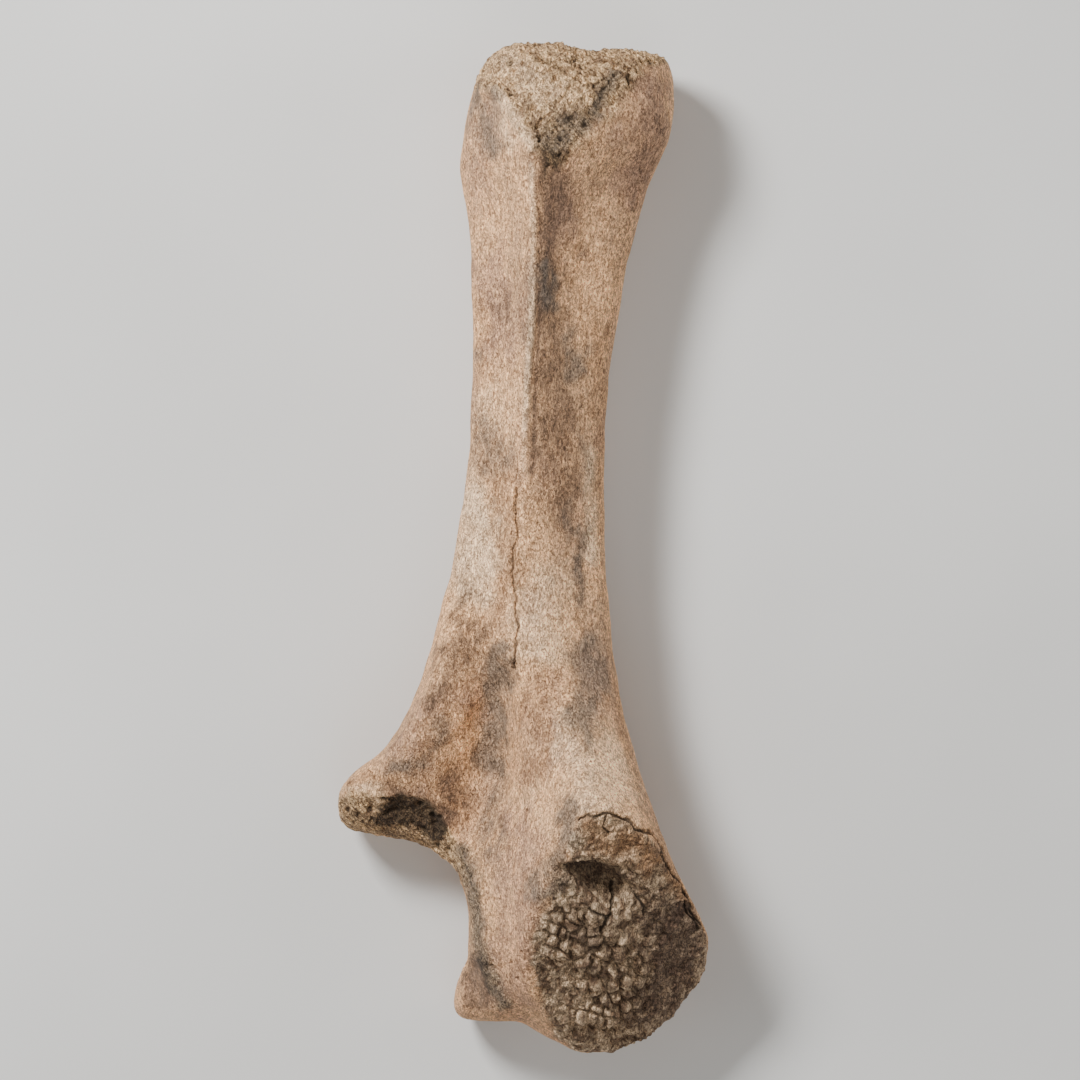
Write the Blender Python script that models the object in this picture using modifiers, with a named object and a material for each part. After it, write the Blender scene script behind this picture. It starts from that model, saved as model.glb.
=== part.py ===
"""Fossil ulna of a young woolly rhinoceros, 0.42 m long, lying on its front side as it would rest.

The row frame has +Y towards the lower (distal) end of the shaft, +Z up, away from the floor, and the longer of the
two wings of the elbow joint towards -X. The sizes below are in millimetres of a bone 420 mm long, and BONE_LENGTH
scales them all. The forms are lofts: sections drawn by a few anatomical borders, with a smooth surface run through
them. They are joined, cut by the pulley of the upper arm bone and by the growth surface of the elbow's tip, and then
worked over with soft strokes, as a sculptor would.
"""

import bmesh
import bpy
import numpy as np
from mathutils import Vector

BONE_LENGTH = 0.420
DRAWN_LENGTH = 420.0
MM = BONE_LENGTH / DRAWN_LENGTH

# How finely the lofts, the joined surface and the finished solid are made.
LOFT_STEP = 5.0
RING_POINTS = 40
VOXEL = 2.2
BLEND_ROUNDS = 6
SOLID_TRIANGLES = 7200
FLAT_DEPTH = 0.7

# The plain colour (linear red, green, blue and alpha) and roughness of dry tan bone.
BONE_COLOUR = (0.42, 0.29, 0.19, 1.0)
BONE_ROUGHNESS = 0.75

# Sections of the main body across Y. Each is eight places (x, height) round the bone: outer border, outer face,
# rear crest, inner face, inner border, then the front side at its inner corner, middle and outer corner.
BODY_SECTIONS = {
    210: [(-7, 36), (0, 49), (9, 54), (22, 50), (31, 38), (27, 19), (14, 12), (0, 19)],
    205.5: [(-13.5, 35), (-6, 53), (11, 61), (37, 58), (56, 39), (50, 12), (21, 5), (-5, 15)],
    198: [(-19.5, 35), (-12, 56), (9, 67), (39, 63), (60.5, 40), (54, 8), (22, 0), (-10, 12)],
    185: [(-23, 37), (-15, 59), (8, 73), (40, 67), (61, 42), (55, 5), (22, -4), (-13, 7)],
    172: [(-25.5, 39), (-15, 61), (7, 78), (38, 68), (60, 42), (53, 5), (20, -2), (-15, 10)],
    159: [(-27, 40), (-13, 61), (6.6, 80), (31, 66), (54, 42), (47, 8), (18, 7), (-16, 14)],
    140: [(-24, 40), (-11, 59), (5.6, 78), (26, 62), (47.5, 42), (40, 12), (14, 12), (-14, 18)],
    104: [(-22, 42), (-10, 58), (4.2, 74), (21, 60), (40, 42), (32, 16), (10, 16), (-13, 21)],
    54: [(-22.4, 43), (-12, 57), (1.5, 69), (17, 60), (33.4, 41), (26, 17), (6, 17), (-13, 22)],
    4: [(-28.6, 43), (-16, 56), (-2.5, 67), (14, 61), (32.8, 42), (26, 16), (2, 15), (-18, 20)],
    -34: [(-36, 42), (-21, 55), (-5, 67), (14, 65), (35.7, 44), (28, 14), (0, 11), (-24, 16)],
    -58: [(-40, 40), (-20, 52), (-2, 68), (18, 72), (38.6, 48), (31, 14), (0, 7), (-26, 11)],
    -83: [(-38, 37), (-16, 49), (6, 75), (25, 82), (44.8, 54), (36, 14), (2, 3), (-24, 7)],
    -108: [(-34, 37), (-13, 52), (14, 88), (33, 101), (53, 62), (40, 14), (5, 2), (-22, 6)],
    -130: [(-29, 42), (-12, 59), (10, 92), (38, 116), (62, 64), (44, 18), (8, 4), (-22, 10)],
    -150: [(-23, 45), (-10, 61), (8, 90), (44, 118), (72, 56), (49, 20), (10, 4), (-18, 12)],
    -165: [(-23, 44), (-10, 59), (6, 82), (45, 110), (77.5, 48), (52, 20), (14, 6), (-18, 12)],
    -180: [(-22, 39), (-9, 52), (6, 70), (42, 90), (74, 42), (50, 18), (14, 8), (-14, 16)],
    -192: [(-8, 30), (0, 42), (10, 56), (38, 66), (63, 38), (46, 18), (20, 12), (-2, 18)],
    -202: [(8, 32), (12, 40), (20, 48), (36, 50), (52, 38), (44, 24), (28, 20), (14, 24)],
    -209: [(20, 35), (22, 38), (28, 42), (36, 42), (42, 37), (38, 32), (30, 30), (23, 32)],
}

# Sections of the two wings across X. Each is eight places (y, height): far edge, rear ridge, hollow, near lip,
# joint surface, front lip that meets the floor, front side and front far corner.
OUTER_WING_SECTIONS = {
    -77.3: [(-100, 25), (-101, 33), (-106, 35), (-111, 31), (-113, 22), (-111, 11), (-105, 8), (-101, 14)],
    -72: [(-93.5, 26), (-96, 38), (-104, 41), (-114, 34), (-117, 21), (-113, 5), (-103, 3), (-95, 13)],
    -60: [(-84, 29), (-89, 45), (-101, 46), (-116, 36), (-119, 20), (-113, -2), (-100, -1.5), (-87, 12)],
    -51: [(-71.5, 31), (-79, 51), (-98, 49), (-116, 38), (-121, 20), (-115, -1.5), (-98, -1), (-78, 12)],
    -40.7: [(-47, 36), (-63, 56), (-93, 49), (-117, 40), (-124, 22), (-118, 0), (-90, 3), (-62, 14)],
    -31: [(-10, 40), (-45, 58), (-88, 49), (-122, 42), (-132, 26), (-121, 1), (-80, 7), (-40, 17)],
    -15: [(8, 42), (-35, 56), (-85, 48), (-128, 42), (-136, 30), (-120, 4), (-75, 10), (-30, 19)],
    0: [(0, 42), (-35, 55), (-85, 45), (-125, 40), (-130, 30), (-115, 8), (-75, 12), (-30, 22)],
}
INNER_WING_SECTIONS = {
    5: [(-55, 26), (-70, 42), (-95, 48), (-122, 42), (-130, 24), (-120, 1), (-90, 3), (-62, 13)],
    30: [(-70, 22), (-79, 37), (-96, 42), (-116, 36), (-121, 20), (-114, -2.5), (-96, 0), (-76, 10)],
    40: [(-80, 21), (-86, 32), (-98, 37), (-113, 32), (-117, 19), (-112, 2), (-96, 2), (-83, 10)],
    46: [(-92, 20), (-94, 27), (-100, 30), (-108, 27), (-111, 18), (-108, 7), (-99, 6), (-94, 11)],
}

# Sections of the beak over the joint across Z. Each is eight places (x, y): outer side, far outer corner, far side,
# far inner corner, inner side, then the near side at its inner corner, middle and outer corner.
BEAK_SECTIONS = {
    52: [(-6, -170), (-2, -184), (12, -190), (26, -184), (30, -170), (24, -156), (12, -152), (0, -156)],
    42: [(-18, -172), (-16, -188), (4, -194), (24, -188), (28, -172), (22, -158), (4, -152), (-14, -158)],
    30: [(-26, -174), (-26, -192), (-2, -196), (20, -190), (26, -174), (20, -160), (-1, -154), (-20, -160)],
    18: [(-28, -178), (-28, -194.5), (-6, -195), (14, -190), (22, -177), (16, -165), (-4, -160), (-22, -166)],
    7: [(-27, -182), (-26.5, -195), (-8, -195), (9, -191), (16, -181), (11, -173), (-7, -170), (-22, -174)],
    0: [(-24, -185), (-22, -193.5), (-8, -194), (5, -190), (10, -184), (6, -177), (-8, -175.5), (-20, -178)],
    -4: [(-18, -186), (-17, -191), (-8, -191.5), (-1, -189), (2, -186), (0, -182), (-8, -181), (-15, -182)],
}

# The upper arm bone's pulley, which the joint surface fits: its axis runs along X, waisted in the middle.
PULLEY_Y = -151.0
PULLEY_HEIGHT = 2.0
PULLEY_PROFILE = [(-110, 41), (-80, 37), (-45, 35.5), (-12, 31.5), (20, 35.5), (50, 38), (80, 41)]
PULLEY_STEPS = 72
PULLEY_MERGE = 0.0001

# The growth surface on the elbow's tip, whose cap was still loose in life: a plane through one point of its rim.
TIP_RIM_TOP = (31.5, -110.4, 99.0)
TIP_NORMAL = (0.391, -0.64, 1.0)
CUTTER_SIZE = 300.0
FLOOR_STRETCH = 2.0

# Strokes on the joined surface: the points that each runs through, its radius, and how far it lifts (+) or sinks (-).
STROKES = [
    ("rear crest", [(6.6, 158, 80), (4.2, 104, 74), (1.5, 54, 69), (-2, 14, 67)], 8, 1.6),
    ("hollow inside the crest", [(14, 150, 73), (13, 96, 67)], 12, -1.5),
    ("wing ridge", [(-16, -50, 60), (-30, -60, 59), (-50, -79, 51), (-66, -94, 42)], 11, 1.2),
    ("hollow behind the wing", [(-10, -58, 58), (-10, -80, 56), (-20, -106, 50)], 20, -3.0),
    ("groove on the inner face", [(24, 10, 58), (25, -24, 60), (26, -44, 64)], 16, -1.2),
    ("outer edge of the rough triangle", [(6.6, 158, 80), (-2, 178, 73), (-12, 194, 62)], 9, 1.2),
    ("inner edge of the rough triangle", [(6.6, 158, 80), (24, 182, 73), (44, 198, 60)], 10, 1.2),
    ("rough triangle", [(11, 176, 78), (15, 192, 70)], 14, -2.0),
    ("pad beside the outer edge", [(-14, 172, 60), (-15, 184, 56)], 12, -2.0),
    ("saddle of the lower growth surface", [(28, 206, 60), (28, 207, 32), (26, 206, 6)], 15, -3.5),
    ("swelling of the tip", [(33, -150, 72), (36, -180, 52)], 26, 3.0),
    ("pit in the tip", [(29, -136, 85), (37, -138, 81)], 15, -4.5),
    ("inner side of the neck", [(56, -150, 30), (54, -120, 36)], 22, -2.5),
    ("bed of the forearm bone", [(2, -60, 8), (2, 0, 15), (6, 60, 17)], 18, -2.0),
]


def eased(keys, values, wanted):
    """Values at the wanted keys, on a cubic through the given ones that never overshoots them."""
    step = np.diff(keys)[:, None]
    slope = np.diff(values, axis=0) / step
    product = slope[:-1] * slope[1:]
    total = np.where(product > 0, slope[:-1] + slope[1:], 1.0)
    inner = np.where(product > 0, 2.0 * product / total, 0.0)
    tangent = np.vstack([slope[:1], inner, slope[-1:]])
    place = np.clip(np.searchsorted(keys, wanted, side="right") - 1, 0, len(step) - 1)
    width = step[place]
    t = (wanted - keys[place])[:, None] / width
    start, end = values[place], values[place + 1]
    rise = (3.0 * t**2 - 2.0 * t**3) * (end - start)
    bend = (t - 2.0 * t**2 + t**3) * tangent[place] + (t**3 - t**2) * tangent[place + 1]
    return start + rise + bend * width


def closed_ring(corners, count):
    """Count points on the smooth closed curve through the corners of one section."""
    corners = np.asarray(corners, float)
    places = np.linspace(0.0, len(corners), count, endpoint=False)
    index = places.astype(int)
    t = (places - index)[:, None]
    before, here, after, beyond = (corners[(index + k) % len(corners)] for k in (-1, 0, 1, 2))
    return 0.5 * (
        2.0 * here
        + (after - before) * t
        + (2.0 * before - 5.0 * here + 4.0 * after - beyond) * t**2
        + (3.0 * here - before - 3.0 * after + beyond) * t**3
    )


def loft(name, sections, place):
    """A closed mesh object through sections {station: corners}; place(station, a, b) is the point for a corner."""
    stations = np.array(sorted(sections), float)
    corners = np.array([sections[key] for key in sorted(sections)], float)
    flat = corners.reshape(len(stations), -1)
    count = int((stations[-1] - stations[0]) / LOFT_STEP) + 2
    wanted = np.linspace(stations[0], stations[-1], count)
    rows = eased(stations, flat, wanted).reshape(count, -1, 2)

    mesh = bmesh.new()
    rings = []
    for station, row in zip(wanted, rows):
        ring = closed_ring(row, RING_POINTS)
        rings.append([mesh.verts.new(Vector(place(station, a, b)) * MM) for a, b in ring])
    for lower, upper in zip(rings, rings[1:]):
        for k in range(RING_POINTS):
            after = (k + 1) % RING_POINTS
            mesh.faces.new((lower[k], lower[after], upper[after], upper[k]))
    mesh.faces.new(rings[0])
    mesh.faces.new(rings[-1])
    bmesh.ops.recalc_face_normals(mesh, faces=mesh.faces)
    return add_object(name, mesh)


def add_object(name, mesh):
    """A new object in the scene from a bmesh, which is freed."""
    data = bpy.data.meshes.new(name)
    mesh.to_mesh(data)
    mesh.free()
    obj = bpy.data.objects.new(name, data)
    bpy.context.scene.collection.objects.link(obj)
    return obj


def move_to(obj, collection):
    """Puts the object in this collection only."""
    for old in list(obj.users_collection):
        old.objects.unlink(obj)
    collection.objects.link(obj)


def make_pulley():
    """The cutter for the joint surface: a waisted roller turned about its axis with a Screw."""
    profile = [(PULLEY_PROFILE[-1][0], 0.0), *reversed(PULLEY_PROFILE), (PULLEY_PROFILE[0][0], 0.0)]
    mesh = bmesh.new()
    points = [mesh.verts.new((x * MM, 0.0, radius * MM)) for x, radius in profile]
    for a, b in zip(points, points[1:]):
        mesh.edges.new((a, b))
    pulley = add_object("pulley", mesh)
    pulley.location = (0.0, PULLEY_Y * MM, PULLEY_HEIGHT * MM)
    screw = pulley.modifiers.new("turn", "SCREW")
    screw.axis = "X"
    screw.steps = screw.render_steps = PULLEY_STEPS
    screw.use_merge_vertices = True
    screw.merge_threshold = PULLEY_MERGE
    return pulley


def make_block(name, centre, normal):
    """A cubic cutter whose lower face passes through centre, square to normal."""
    mesh = bmesh.new()
    bmesh.ops.create_cube(mesh, size=CUTTER_SIZE * MM)
    block = add_object(name, mesh)
    direction = Vector(normal).normalized()
    block.rotation_mode = "QUATERNION"
    block.rotation_quaternion = direction.to_track_quat("Z", "Y")
    block.location = Vector(centre) * MM + direction * CUTTER_SIZE * MM / 2.0
    return block


def add_boolean(obj, name, operation, **operand):
    """A Boolean modifier with the exact solver, on an object or a collection."""
    boolean = obj.modifiers.new(name, "BOOLEAN")
    boolean.operation = operation
    boolean.solver = "EXACT"
    boolean.operand_type = "COLLECTION" if "collection" in operand else "OBJECT"
    for key, value in operand.items():
        setattr(boolean, key, value)
    return boolean


def apply_modifiers(obj):
    """Replaces the object's mesh by its evaluated one and drops its modifiers."""
    bpy.context.view_layer.update()
    graph = bpy.context.evaluated_depsgraph_get()
    made = bpy.data.meshes.new_from_object(obj.evaluated_get(graph))
    obj.modifiers.clear()
    obj.data = made


def distance_to_path(points, path):
    """Each point's distance to a path of straight stretches."""
    nearest = np.full(len(points), np.inf)
    for start, end in zip(path, path[1:]):
        start, end = np.array(start, float) * MM, np.array(end, float) * MM
        along = end - start
        share = np.clip((points - start) @ along / (along @ along), 0.0, 1.0)
        gap = np.linalg.norm(points - start - share[:, None] * along, axis=1)
        nearest = np.minimum(nearest, gap)
    return nearest


def work_over(mesh):
    """Lifts and sinks the surface along each stroke, fading to nothing at its radius. Where strokes meet, the highest
    and the deepest count."""
    count = len(mesh.vertices)
    points = np.empty(count * 3)
    normals = np.empty(count * 3)
    mesh.vertices.foreach_get("co", points)
    mesh.vertex_normals.foreach_get("vector", normals)
    points, normals = points.reshape(-1, 3), normals.reshape(-1, 3)
    highest, deepest = np.zeros(count), np.zeros(count)
    for _, path, radius, lift in STROKES:
        near = np.clip(1.0 - distance_to_path(points, path) / (radius * MM), 0.0, 1.0)
        stroke = lift * MM * near**2 * (3.0 - 2.0 * near)
        highest, deepest = np.maximum(highest, stroke), np.minimum(deepest, stroke)
    shift = highest + deepest
    mesh.vertices.foreach_set("co", (points + normals * shift[:, None]).ravel())
    mesh.update()


def centre_on_floor(mesh):
    """Moves the mesh so that the middle of its box is over the origin and its lowest point is just below the floor."""
    points = np.empty(len(mesh.vertices) * 3)
    mesh.vertices.foreach_get("co", points)
    points = points.reshape(-1, 3)
    low, high = points.min(axis=0), points.max(axis=0)
    move = -(low + high) / 2.0
    move[2] = -low[2] - FLAT_DEPTH * MM
    mesh.vertices.foreach_set("co", (points + move).ravel())
    mesh.update()


def bone_material():
    """Matt tan bone."""
    material = bpy.data.materials.new("fossil_bone")
    material.use_nodes = True
    shader = material.node_tree.nodes["Principled BSDF"]
    shader.inputs["Base Color"].default_value = BONE_COLOUR
    shader.inputs["Roughness"].default_value = BONE_ROUGHNESS
    return material


def make_ulna(cutters, pieces):
    """The bone: main body, wings and beak joined, cut, blended, worked over and set on small flats."""
    ulna = loft("ulna", BODY_SECTIONS, lambda y, x, z: (x, y, z))
    joined = [
        loft("outer_wing", OUTER_WING_SECTIONS, lambda x, y, z: (x, y, z)),
        loft("inner_wing", INNER_WING_SECTIONS, lambda x, y, z: (x, y, z)),
        loft("beak", BEAK_SECTIONS, lambda z, x, y: (x, y, z)),
    ]
    for piece in joined:
        move_to(piece, pieces)
    removed = [make_pulley(), make_block("tip_plane", TIP_RIM_TOP, TIP_NORMAL)]
    for cutter in removed:
        move_to(cutter, cutters)

    add_boolean(ulna, "join", "UNION", collection=pieces)
    for cutter in removed:
        add_boolean(ulna, cutter.name, "DIFFERENCE", object=cutter)
    remesh = ulna.modifiers.new("blend", "REMESH")
    remesh.mode = "VOXEL"
    remesh.voxel_size = VOXEL * MM
    smooth = ulna.modifiers.new("soften", "SMOOTH")
    smooth.iterations = BLEND_ROUNDS
    apply_modifiers(ulna)
    for piece in joined + removed:
        bpy.data.objects.remove(piece)

    work_over(ulna.data)
    decimate = ulna.modifiers.new("thin", "DECIMATE")
    ulna.data.calc_loop_triangles()
    decimate.ratio = SOLID_TRIANGLES / len(ulna.data.loop_triangles)
    apply_modifiers(ulna)
    centre_on_floor(ulna.data)

    floor = make_block("floor", (0.0, 0.0, 0.0), (0.0, 0.0, -1.0))
    floor.scale = (FLOOR_STRETCH, FLOOR_STRETCH, 1.0)
    move_to(floor, cutters)
    add_boolean(ulna, "flats", "DIFFERENCE", object=floor)
    floor.hide_render = True
    floor.display_type = "WIRE"
    ulna.data.materials.append(bone_material())
    ulna.data.shade_smooth()
    return ulna


def main():
    """Clears the scene and makes the bone in a collection of its own."""
    for old in list(bpy.data.objects):
        bpy.data.objects.remove(old)
    scene = bpy.context.scene.collection
    fossil, pieces, cutters = (bpy.data.collections.new(n) for n in ("fossil_ulna", "pieces", "cutters"))
    for collection in (fossil, pieces, cutters):
        scene.children.link(collection)
    move_to(make_ulna(cutters, pieces), fossil)
    bpy.data.collections.remove(pieces)


main()
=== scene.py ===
"""Fossil ulna of a young woolly rhinoceros, dressed as dry museum bone and lying on a pale studio floor.

The bone is one skin, made from a copy of the frame's solid: remeshed evenly, refined where the real one has
fine relief, carved with strokes, grain and cells, and painted with masks that its one procedural finish
reads. Places and sizes are in millimetres of the frame: +Y towards the lower end of the shaft, +Z up from
the floor, and -X towards the longer wing of the elbow. A mark's places are in plan, as seen from above.
"""

import logging
from collections.abc import Callable, Sequence
from dataclasses import dataclass
from enum import Enum

import bmesh
import bpy
import numpy as np
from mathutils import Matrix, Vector, bvhtree, kdtree, noise


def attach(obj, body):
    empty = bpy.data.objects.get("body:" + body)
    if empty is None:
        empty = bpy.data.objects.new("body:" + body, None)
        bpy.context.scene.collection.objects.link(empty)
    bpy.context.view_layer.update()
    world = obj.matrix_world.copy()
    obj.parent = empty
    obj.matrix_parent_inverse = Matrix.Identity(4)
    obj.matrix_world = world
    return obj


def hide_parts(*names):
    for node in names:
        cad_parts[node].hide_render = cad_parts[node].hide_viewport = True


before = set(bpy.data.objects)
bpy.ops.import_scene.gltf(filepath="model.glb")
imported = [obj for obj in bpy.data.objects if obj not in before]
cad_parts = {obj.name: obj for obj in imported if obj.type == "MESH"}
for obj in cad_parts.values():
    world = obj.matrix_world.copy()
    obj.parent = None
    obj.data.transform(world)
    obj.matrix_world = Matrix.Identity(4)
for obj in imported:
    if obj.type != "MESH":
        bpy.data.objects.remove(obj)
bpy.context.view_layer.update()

log = logging.getLogger("fossil_ulna")
MM = 0.001
# Noise times FULL_SWING goes about one unit each way. Seeds UNLIKE_SEED apart give unlike patterns.
FULL_SWING = 1.6
UNLIKE_SEED = 31.7
Path = list[tuple[float, float]]
Socket = bpy.types.NodeSocket


class Mask(Enum):
    """Masks painted on the skin's points, from 0 to 1, which the finish reads by name."""

    SPONGY = "spongy"
    GROWTH = "growth"
    HOLLOW = "hollow"
    WORN = "worn"
    PALE = "pale"
    ROSE = "rose"
    OCHRE = "ochre"
    UMBER = "umber"
    GREY = "grey"


@dataclass(frozen=True)
class Mark:
    """A soft stroke seen in plan.

    Args:
        path: the points it runs through; a single one is a spot.
        radius: where it has faded to nothing.
        strength: its value along the path, in millimetres for relief and 0 to 1 for paint.
        steady: whether it keeps to its path where others wander.
    """

    path: Path
    radius: float
    strength: float = 1.0
    steady: bool = False


@dataclass(frozen=True)
class Grain:
    """Smooth noise over the skin.

    Args:
        size: how wide its lumps are.
        seed: which of its patterns it is.
        height: what the noise, from about -0.7 to 0.7, is multiplied by; millimetres for relief.
        stretch: how many times longer than wide the lumps are.
        turn: the angle from +Y, to the right, that they are drawn out along, in radians.
    """

    size: float
    seed: float
    height: float = 1.0
    stretch: float = 1.0
    turn: float = 0.0


@dataclass(frozen=True)
class Wander:
    """Noise that shifts places in plan, so that a stroke's route or an area's edge is ragged.

    Args:
        size: how wide its swings are.
        reach: about how far they go.
        seed: which of its patterns it is.
    """

    size: float
    reach: float
    seed: float


def smooth_step(values: np.ndarray, low: float, high: float) -> np.ndarray:
    """Values eased from 0 at low to 1 at high."""
    share = np.clip((values - low) / (high - low), 0.0, 1.0)
    return share * share * (3.0 - 2.0 * share)


def distance_to_path(points: np.ndarray, path: Path) -> np.ndarray:
    """Each point's distance in plan to a path of straight stretches.

    Args:
        points: places with two or more columns, of which the first two count.
        path: the path's corners; a single one is a spot.

    Returns:
        The distances.
    """
    plan = points[:, :2]
    nearest = np.linalg.norm(plan - np.array(path[0]), axis=1)
    for start, end in zip(path, path[1:]):
        start, along = np.array(start), np.array(end) - np.array(start)
        share = np.clip((plan - start) @ along / (along @ along), 0.0, 1.0)
        nearest = np.minimum(nearest, np.linalg.norm(plan - start - share[:, None] * along, axis=1))
    return nearest


def inside(points: np.ndarray, outline: Path) -> np.ndarray:
    """Tells which points lie inside a closed outline in plan, by counting crossings.

    Args:
        points: places with two or more columns, of which the first two count.
        outline: the outline's corners, without the first one again at the end.

    Returns:
        True for each point inside.
    """
    x, y = points[:, 0], points[:, 1]
    found = np.zeros(len(points), bool)
    for (x0, y0), (x1, y1) in zip(outline, outline[1:] + outline[:1]):
        if y0 != y1:
            crosses = (y0 > y) != (y1 > y)
            found ^= crosses & (x < (x1 - x0) * (y - y0) / (y1 - y0) + x0)
    return found


def within(points: np.ndarray, outline: Path, edge: float) -> np.ndarray:
    """A mask of the area in an outline.

    Args:
        points: places with two or more columns, of which the first two count.
        outline: the outline's corners.
        edge: the width over which the mask fades, half of it on each side of the outline.

    Returns:
        The mask, 1 inside and 0 outside.
    """
    gap = distance_to_path(points, outline + outline[:1])
    signed = np.where(inside(points, outline), gap, -gap)
    return smooth_step(signed, -edge / 2.0, edge / 2.0)


class Surface:
    """A mesh's points and normals as arrays, in millimetres, with the means to carve and paint them."""

    def __init__(self, mesh: bpy.types.Mesh) -> None:
        """Reads the mesh."""
        self.mesh = mesh
        self.read()

    def read(self) -> None:
        """Reads the points and normals again after a change."""
        self.points = self.column(self.mesh.vertices, "co") / MM
        self.normals = self.column(self.mesh.vertex_normals, "vector")

    def column(self, owner: bpy.types.bpy_prop_collection, name: str) -> np.ndarray:
        """One vector property of every point.

        Args:
            owner: the mesh's points or their normals.
            name: the property.

        Returns:
            An array of one row for each point.
        """
        values = np.empty(len(self.mesh.vertices) * 3)
        owner.foreach_get(name, values)
        return values.reshape(-1, 3)

    def carve(self, lift: np.ndarray) -> None:
        """Moves each point along its normal.

        Args:
            lift: how far, in millimetres; below 0 it's sunk.
        """
        moved = (self.points + self.normals * lift[:, None]) * MM
        self.mesh.vertices.foreach_set("co", moved.ravel())
        self.mesh.update()
        self.read()

    def settle(self) -> None:
        """Brings points that the relief pushed under the floor back up to it."""
        self.points[:, 2] = np.maximum(self.points[:, 2], 0.0)
        self.carve(np.zeros(len(self.points)))

    def upward(self) -> np.ndarray:
        """1 where the surface can be seen from above, fading to 0 on its flanks."""
        return smooth_step(self.normals[:, 2], 0.02, 0.25)

    def stroke(self, mark: Mark, shift: np.ndarray | float = 0.0) -> np.ndarray:
        """A mark's strength at each point.

        Args:
            mark: the stroke.
            shift: a shift of each point in plan, which makes the stroke's route and edge ragged.

        Returns:
            The strengths, 0 outside the stroke and on sides that can't be seen from above.
        """
        near = 1.0 - distance_to_path(self.points[:, :2] + shift, mark.path) / mark.radius
        return mark.strength * smooth_step(near, 0.0, 1.0) * self.upward()

    def strokes(self, marks: Sequence[Mark], shift: np.ndarray | float = 0.0) -> np.ndarray:
        """The highest plus the deepest of several marks at each point."""
        values = np.array([self.stroke(mark, 0.0 if mark.steady else shift) for mark in marks])
        return np.maximum(values.max(axis=0), 0.0) + np.minimum(values.min(axis=0), 0.0)

    def grain(self, *kinds: Grain) -> np.ndarray:
        """Adds up one or more grains at each point.

        Args:
            kinds: the grains.

        Returns:
            Their sum.
        """
        x, y, z = self.points.T
        total = np.zeros(len(self.points))
        for kind in kinds:
            across = x * np.cos(kind.turn) - y * np.sin(kind.turn)
            along = (x * np.sin(kind.turn) + y * np.cos(kind.turn)) / kind.stretch
            places = np.column_stack([across, along, z]) / kind.size + kind.seed
            total += kind.height * np.array([noise.noise(Vector(place)) for place in places])
        return total

    def wander(self, *kinds: Wander) -> np.ndarray:
        """Adds up the shifts in plan that one or more wanders give each point.

        Args:
            kinds: the wanders.

        Returns:
            An array of one row for each point, across and along.
        """
        total = np.zeros((len(self.points), 2))
        for kind in kinds:
            swing = kind.reach * FULL_SWING
            sideways = self.grain(Grain(kind.size, kind.seed, swing))
            lengthways = self.grain(Grain(kind.size, kind.seed + UNLIKE_SEED, swing))
            total += np.column_stack([sideways, lengthways])
        return total

    def paint(self, mask: Mask, values: np.ndarray) -> None:
        """Stores a mask on the points."""
        layer = self.mesh.attributes.new(mask.value, "FLOAT", "POINT")
        layer.data.foreach_set("value", np.clip(values, 0.0, 1.0))


SHAFT_CRACK: Path = [
    (-3.3, 25.7), (-3.1, 9.1), (-5.0, -0.4), (-5.4, -8.7), (-3.7, -19.9), (-2.9, -31.1), (-3.4, -41.1),
    (-4.6, -50.6),
]
RIM_CRACK: Path = [
    (22.4, -110.8), (26.1, -107.7), (28.8, -109.1), (34.2, -109.6), (38.6, -109.1), (41.5, -109.6),
    (45.1, -113.5), (49.6, -115.0), (53.9, -119.9), (57.7, -126.2), (60.4, -133.2), (64.7, -138.8),
    (68.5, -146.1), (71.3, -153.1), (74.7, -157.7),
]
CREST: Path = [
    (4.4, 164.0), (5.0, 144.8), (5.0, 130.3), (4.8, 111.6), (4.1, 90.9), (2.5, 70.1), (1.7, 49.4), (0.8, 28.6)
]
TIP_OUTLINE: Path = [
    (19.9, -112.5), (26.1, -107.9), (34.0, -109.6), (41.5, -109.6), (49.4, -115.0), (57.7, -126.2),
    (64.7, -138.6), (71.4, -152.3), (80.0, -160.6), (80.0, -170.6), (76.0, -183.0), (67.7, -195.0),
    (53.5, -208.6), (36.5, -214.0), (23.2, -213.0), (13.3, -202.9), (10.0, -191.3), (7.1, -183.8),
    (4.6, -178.4), (3.3, -172.2), (3.7, -163.1), (6.2, -154.0), (10.0, -145.2), (12.9, -136.1),
    (17.4, -128.2), (18.3, -120.8),
]
ROUGH_END_OUTLINE: Path = [
    (-10.0, 188.8), (-6.6, 184.7), (-1.7, 175.5), (4.1, 165.6), (8.7, 154.5), (14.9, 157.1), (23.2, 166.2),
    (29.9, 173.9), (38.2, 181.4), (43.5, 189.5), (50.1, 199.0), (58.4, 203.0), (76.0, 204.5), (76.0, 223.5),
    (-40.0, 223.5), (-36.9, 186.2), (-20.8, 190.6), (-15.8, 190.9),
]
WING_EDGE: Path = [
    (-79.0, -96.3), (-68.1, -99.6), (-60.6, -102.1), (-51.0, -101.7), (-41.1, -103.3), (-36.1, -107.1),
    (-31.1, -116.2), (-25.3, -124.1), (-22.4, -129.9),
]
BELOW_WING: Path = [(-22.4, -140.0), (-90.0, -140.0), (-90.0, -96.0)]
NOTCH_RIM: Path = [
    (-25.7, -124.9), (-22.8, -136.1), (-19.9, -149.8), (-19.1, -163.1), (-17.0, -170.6), (-12.9, -181.4),
    (-8.3, -188.4),
]
PIT_LIP: Path = [
    (16.5, -128.8), (20.5, -127.8), (24.0, -125.6), (32.4, -126.4), (42.7, -127.6), (49.0, -130.5)
]
PORES: Path = [
    (-5.4, -171.0), (-13.3, -172.6), (-2.9, -177.6), (-1.7, -141.5), (-6.2, -107.5), (-17.8, 183.4),
    (-1.2, -166.3),
]


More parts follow.
